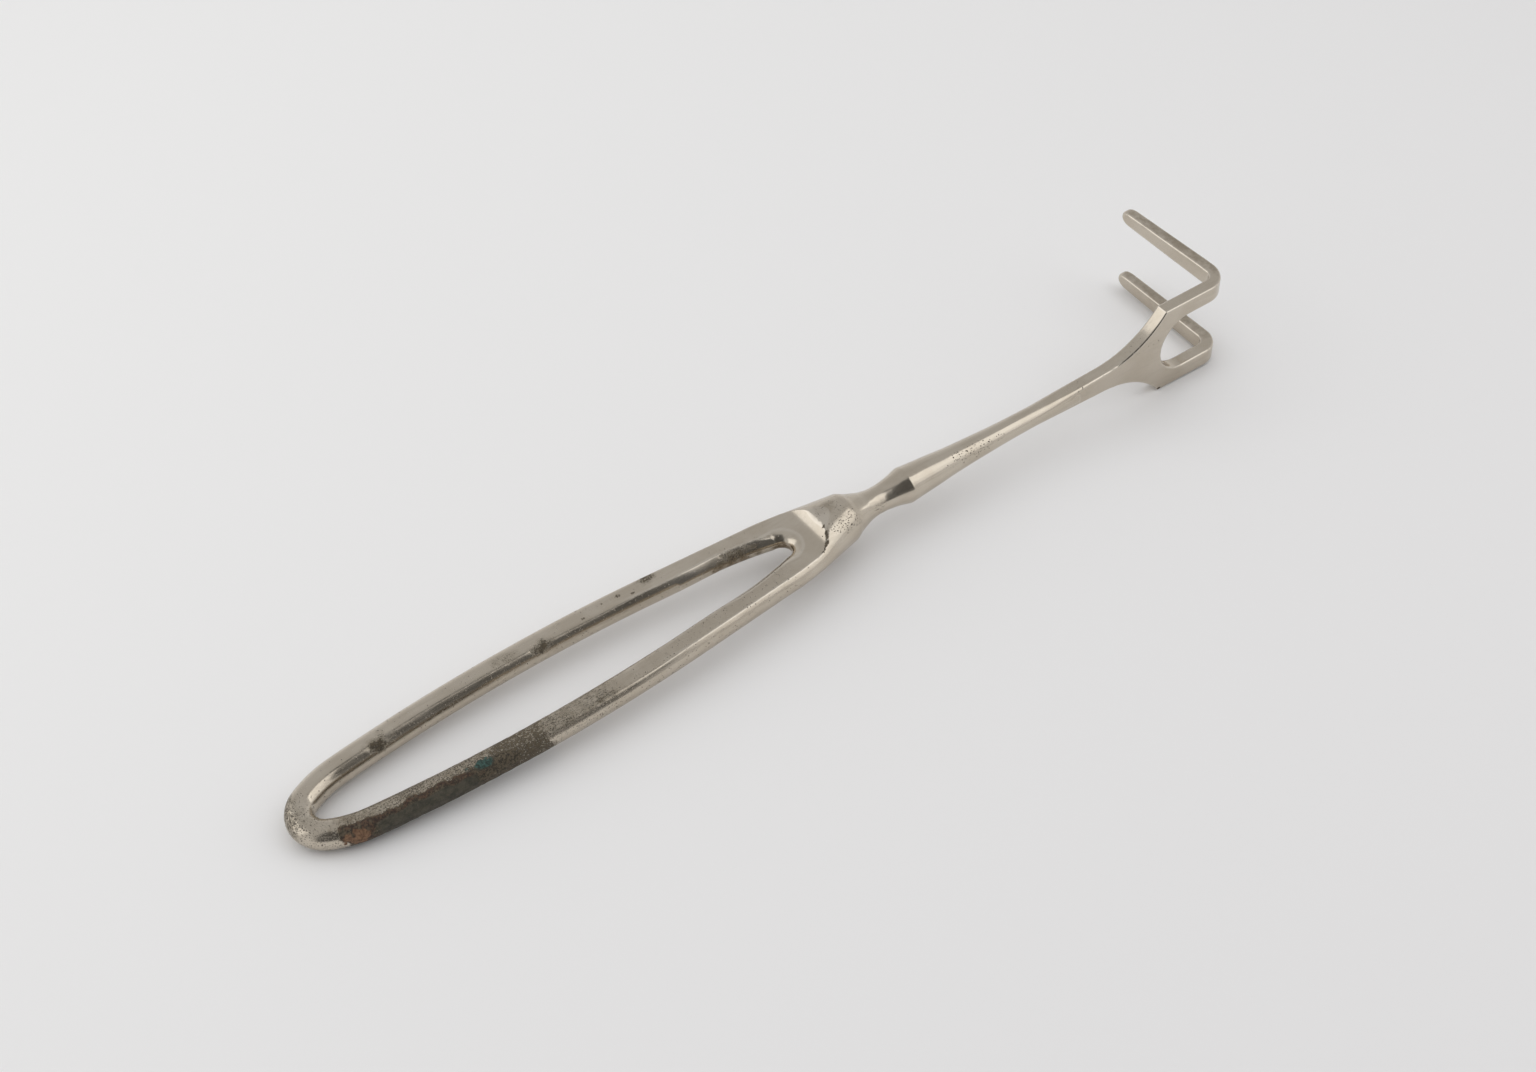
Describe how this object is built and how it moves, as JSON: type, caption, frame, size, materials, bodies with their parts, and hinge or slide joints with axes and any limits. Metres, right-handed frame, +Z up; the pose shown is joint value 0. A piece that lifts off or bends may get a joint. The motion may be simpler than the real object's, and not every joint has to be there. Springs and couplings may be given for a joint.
{
  "type": "surgical retractor",
  "caption": "Handheld surgical retractor: leaf-shaped loop handle, slim shank and a flat fork bent into blunt prongs.",
  "frame": {"origin": "centre of the bounding box's bottom face, on the surface the instrument rests on", "axes": "+X from the handle's loop to the fork, +Y the way the prongs point, +Z up; it lies on its side as it comes to rest, on the loop's round end and a corner of the fork"},
  "size_m": [0.216, 0.043, 0.0219],
  "materials": {
    "plated_steel": "worn nickel plate on forged steel, satin, with rust and pits on the handle"
  },
  "bodies": {
    "root": {"retractor": "plated_steel"}
  },
  "joints": []
}
